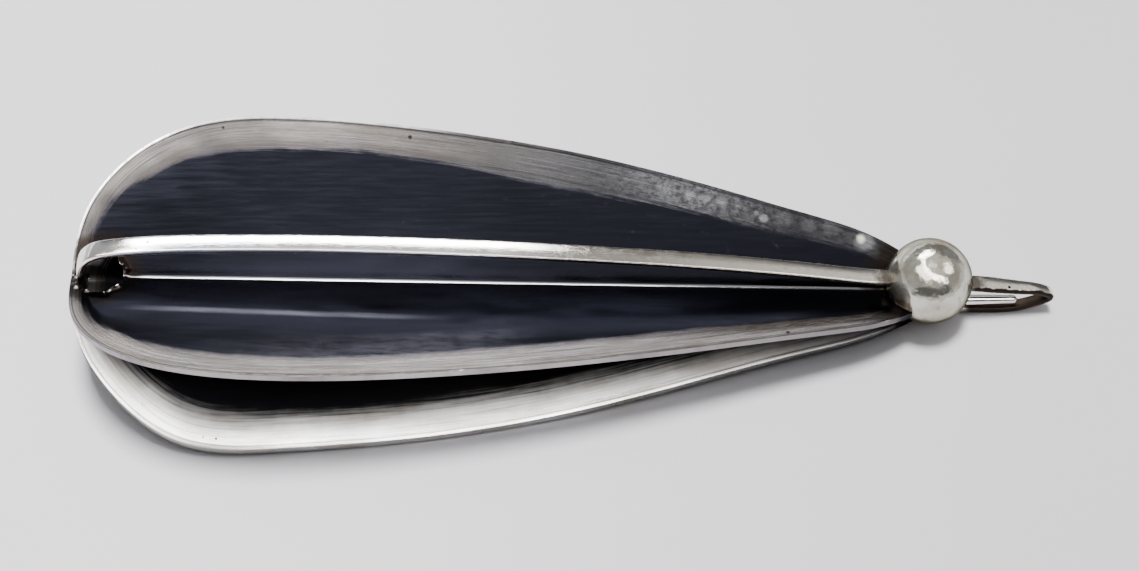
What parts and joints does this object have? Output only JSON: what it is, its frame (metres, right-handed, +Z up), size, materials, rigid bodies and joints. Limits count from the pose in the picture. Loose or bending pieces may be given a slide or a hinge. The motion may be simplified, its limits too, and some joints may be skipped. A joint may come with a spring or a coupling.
{
  "type": "modernist leaf brooch",
  "caption": "Long silver brooch of two folded leaves set back to back, with a bow strap, a ball and a hook that catches the pin.",
  "frame": {"origin": "under the middle of the brooch's box, on the surface that it lies on", "axes": "+X along the fold from the broad end to the ball and the hook, +Y across the leaves, +Z up from the surface"},
  "size_m": [0.0814, 0.026, 0.0124],
  "materials": {
    "oxidised_leaf": "silver sheet, darkened inside and polished along the rim",
    "oxidised_leaf_back": "silver sheet, blackened inside and polished along the rim",
    "hammered_silver": "bright forged silver strap",
    "polished_silver": "mirror polished silver",
    "pin_silver": "drawn silver wire"
  },
  "bodies": {
    "root": {"front_leaf": "oxidised_leaf", "back_leaf": "oxidised_leaf_back", "bow_strap": "hammered_silver", "ball": "polished_silver", "pin_stem": "pin_silver"}
  },
  "joints": []
}
